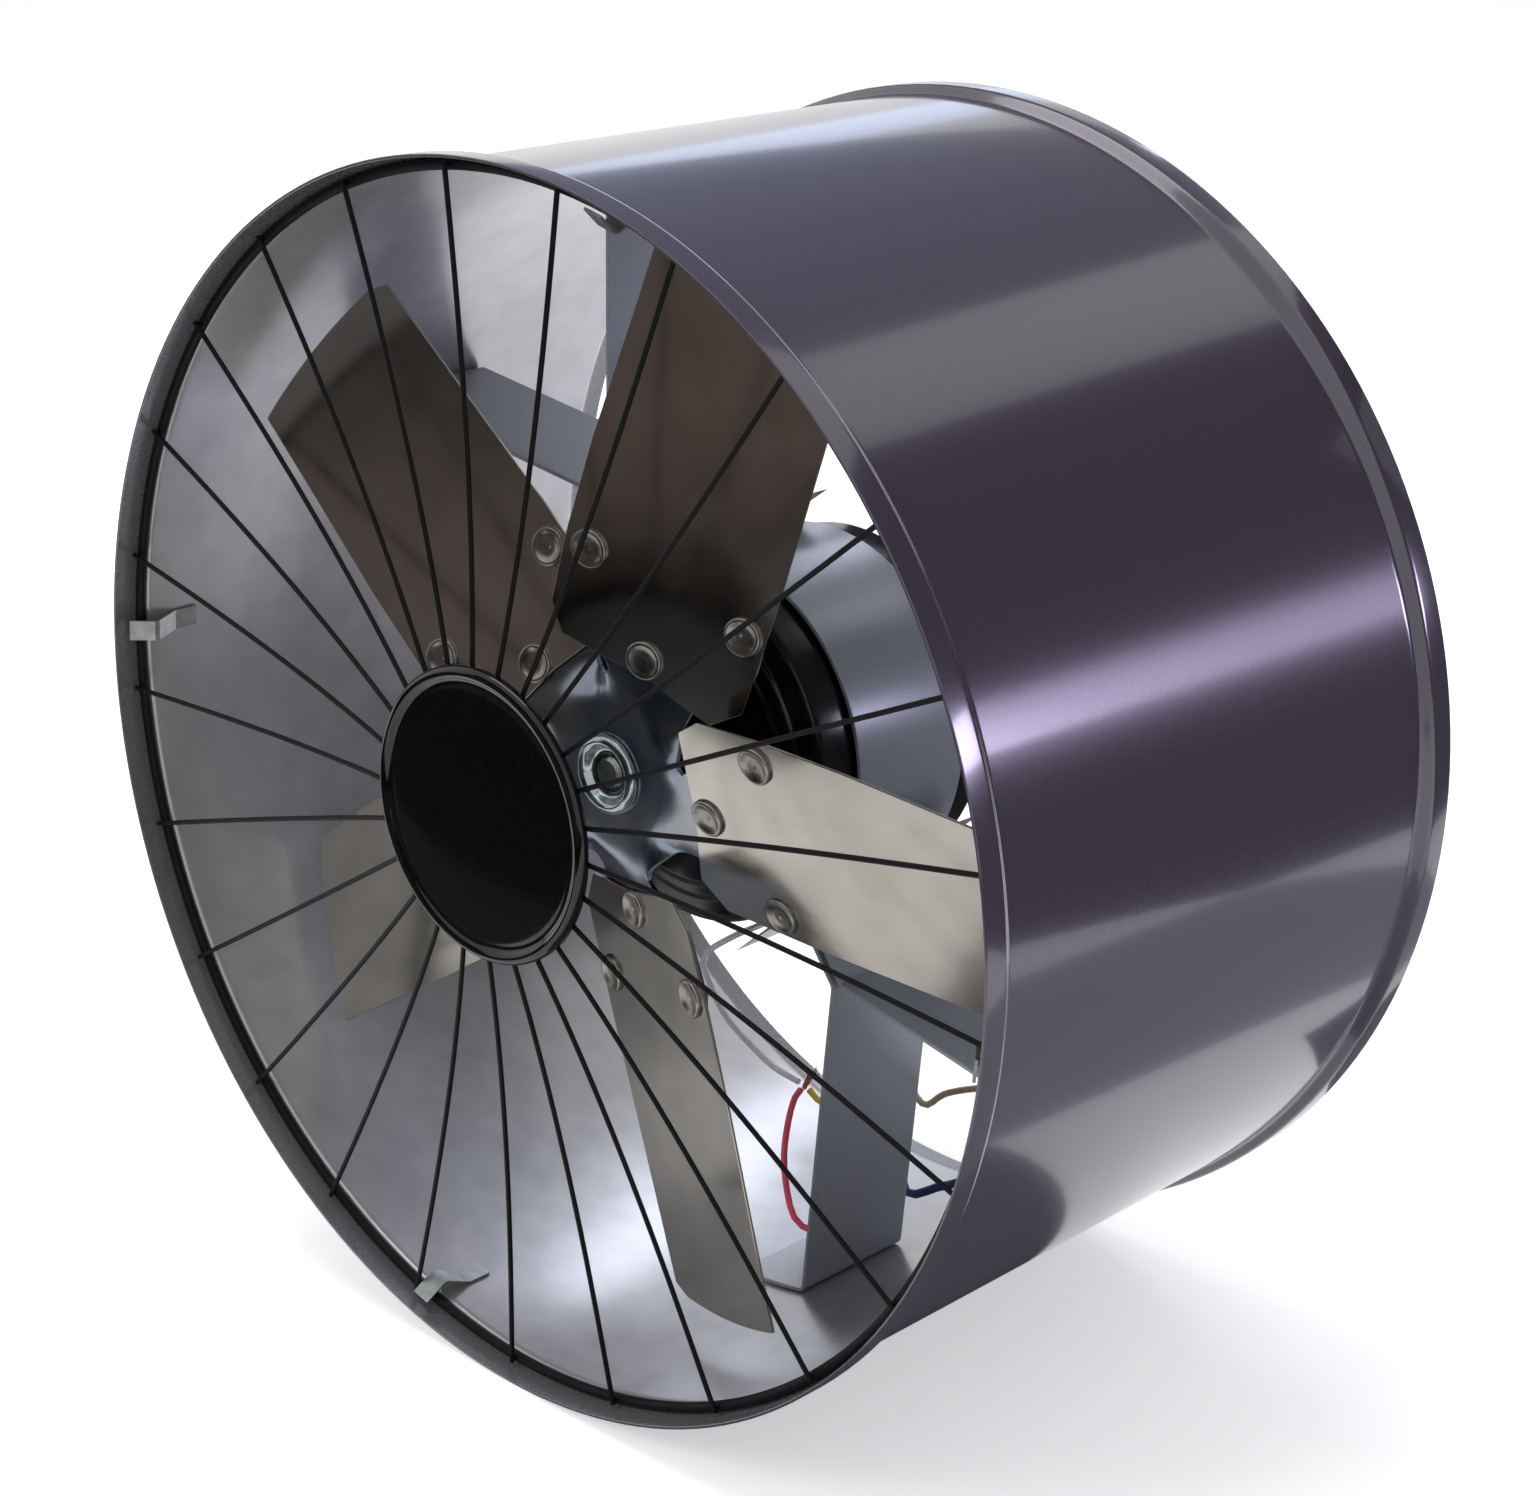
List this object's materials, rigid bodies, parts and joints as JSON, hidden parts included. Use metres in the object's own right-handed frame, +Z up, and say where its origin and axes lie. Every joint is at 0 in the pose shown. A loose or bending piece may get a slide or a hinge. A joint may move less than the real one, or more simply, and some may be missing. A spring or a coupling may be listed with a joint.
{
  "type": "axial exhaust fan",
  "caption": "Drum-type axial exhaust fan: rolled sheet casing, wire guard with a round cap, riveted sheet blades, strap-held induction motor and loose supply leads",
  "frame": {"origin": "on the fan's axis, in the plane of the front rim, which is the guard side", "axes": "+Y along the fan's axis from the guard to the rear rim, +Z up, +X to the right seen from the guard side"},
  "size_m": [0.408, 0.2326, 0.408],
  "materials": {
    "drum_paint": "grey powder paint with a fine orange-peel surface",
    "strap_paint": "blue-grey powder paint",
    "guard_coating": "black coated wire",
    "cap_gloss": "high gloss black",
    "bell_black": "glossy black paint",
    "blade_steel": "bare cold-rolled sheet, semi-gloss",
    "zinc": "zinc-plated or galvanised steel",
    "bright_steel": "bright plated steel",
    "dark_steel": "blackened steel",
    "core_steel": "stacked electrical sheet",
    "copper": "copper wire",
    "bronze": "sintered bronze",
    "rubber": "black rubber",
    "lead_white": "white insulation",
    "lead_red": "red insulation",
    "lead_earth": "yellow and green insulation",
    "lead_brown": "light brown insulation",
    "lead_blue": "dark blue insulation"
  },
  "bodies": {
    "frame": {"drum_casing": "drum_paint", "guard_wires": "guard_coating", "guard_hub_plate": "zinc", "guard_cap": "cap_gloss", "guard_cap_nut": "zinc", "guard_clip_1": "zinc", "guard_clip_2": "zinc", "guard_clip_3": "zinc", "guard_clip_4": "zinc", "strap_lower": "strap_paint", "strap_upper": "strap_paint", "clamp_bolt_1": "zinc", "clamp_bolt_2": "zinc", "clamp_bolt_3": "zinc", "clamp_bolt_4": "zinc", "clamp_nut_1": "zinc", "clamp_nut_2": "zinc", "clamp_nut_3": "zinc", "clamp_nut_4": "zinc", "motor_front_bell": "bell_black", "motor_rear_bell": "bell_black", "stator_core": "core_steel", "stator_windings": "copper", "front_bush": "bronze", "rear_bush": "bronze", "motor_through_bolt_1": "bright_steel", "motor_through_bolt_2": "bright_steel", "motor_through_bolt_3": "bright_steel", "lead_grommet": "rubber", "lead_white": "lead_white", "lead_red": "lead_red", "lead_earth": "lead_earth", "lead_brown": "lead_brown", "lead_blue": "lead_blue", "lead_splice": "copper"},
    "rotor": {"hub_spider": "zinc", "hub_boss": "bright_steel", "hub_set_screw": "dark_steel", "blade_1": "blade_steel", "blade_2": "blade_steel", "blade_3": "blade_steel", "blade_4": "blade_steel", "blade_5": "blade_steel", "blade_rivet_1": "bright_steel", "blade_rivet_2": "bright_steel", "blade_rivet_3": "bright_steel", "blade_rivet_4": "bright_steel", "blade_rivet_5": "bright_steel", "blade_rivet_6": "bright_steel", "blade_rivet_7": "bright_steel", "blade_rivet_8": "bright_steel", "blade_rivet_9": "bright_steel", "blade_rivet_10": "bright_steel", "blade_rivet_11": "bright_steel", "blade_rivet_12": "bright_steel", "blade_rivet_13": "bright_steel", "blade_rivet_14": "bright_steel", "blade_rivet_15": "bright_steel", "shaft": "bright_steel", "rotor_core": "core_steel"}
  },
  "joints": [
    {"name": "rotor_spin", "type": "hinge", "parent": "frame", "child": "rotor", "pos_m": [0, 0.1263, 0], "axis": [0, 1, 0], "continuous": true}
  ]
}
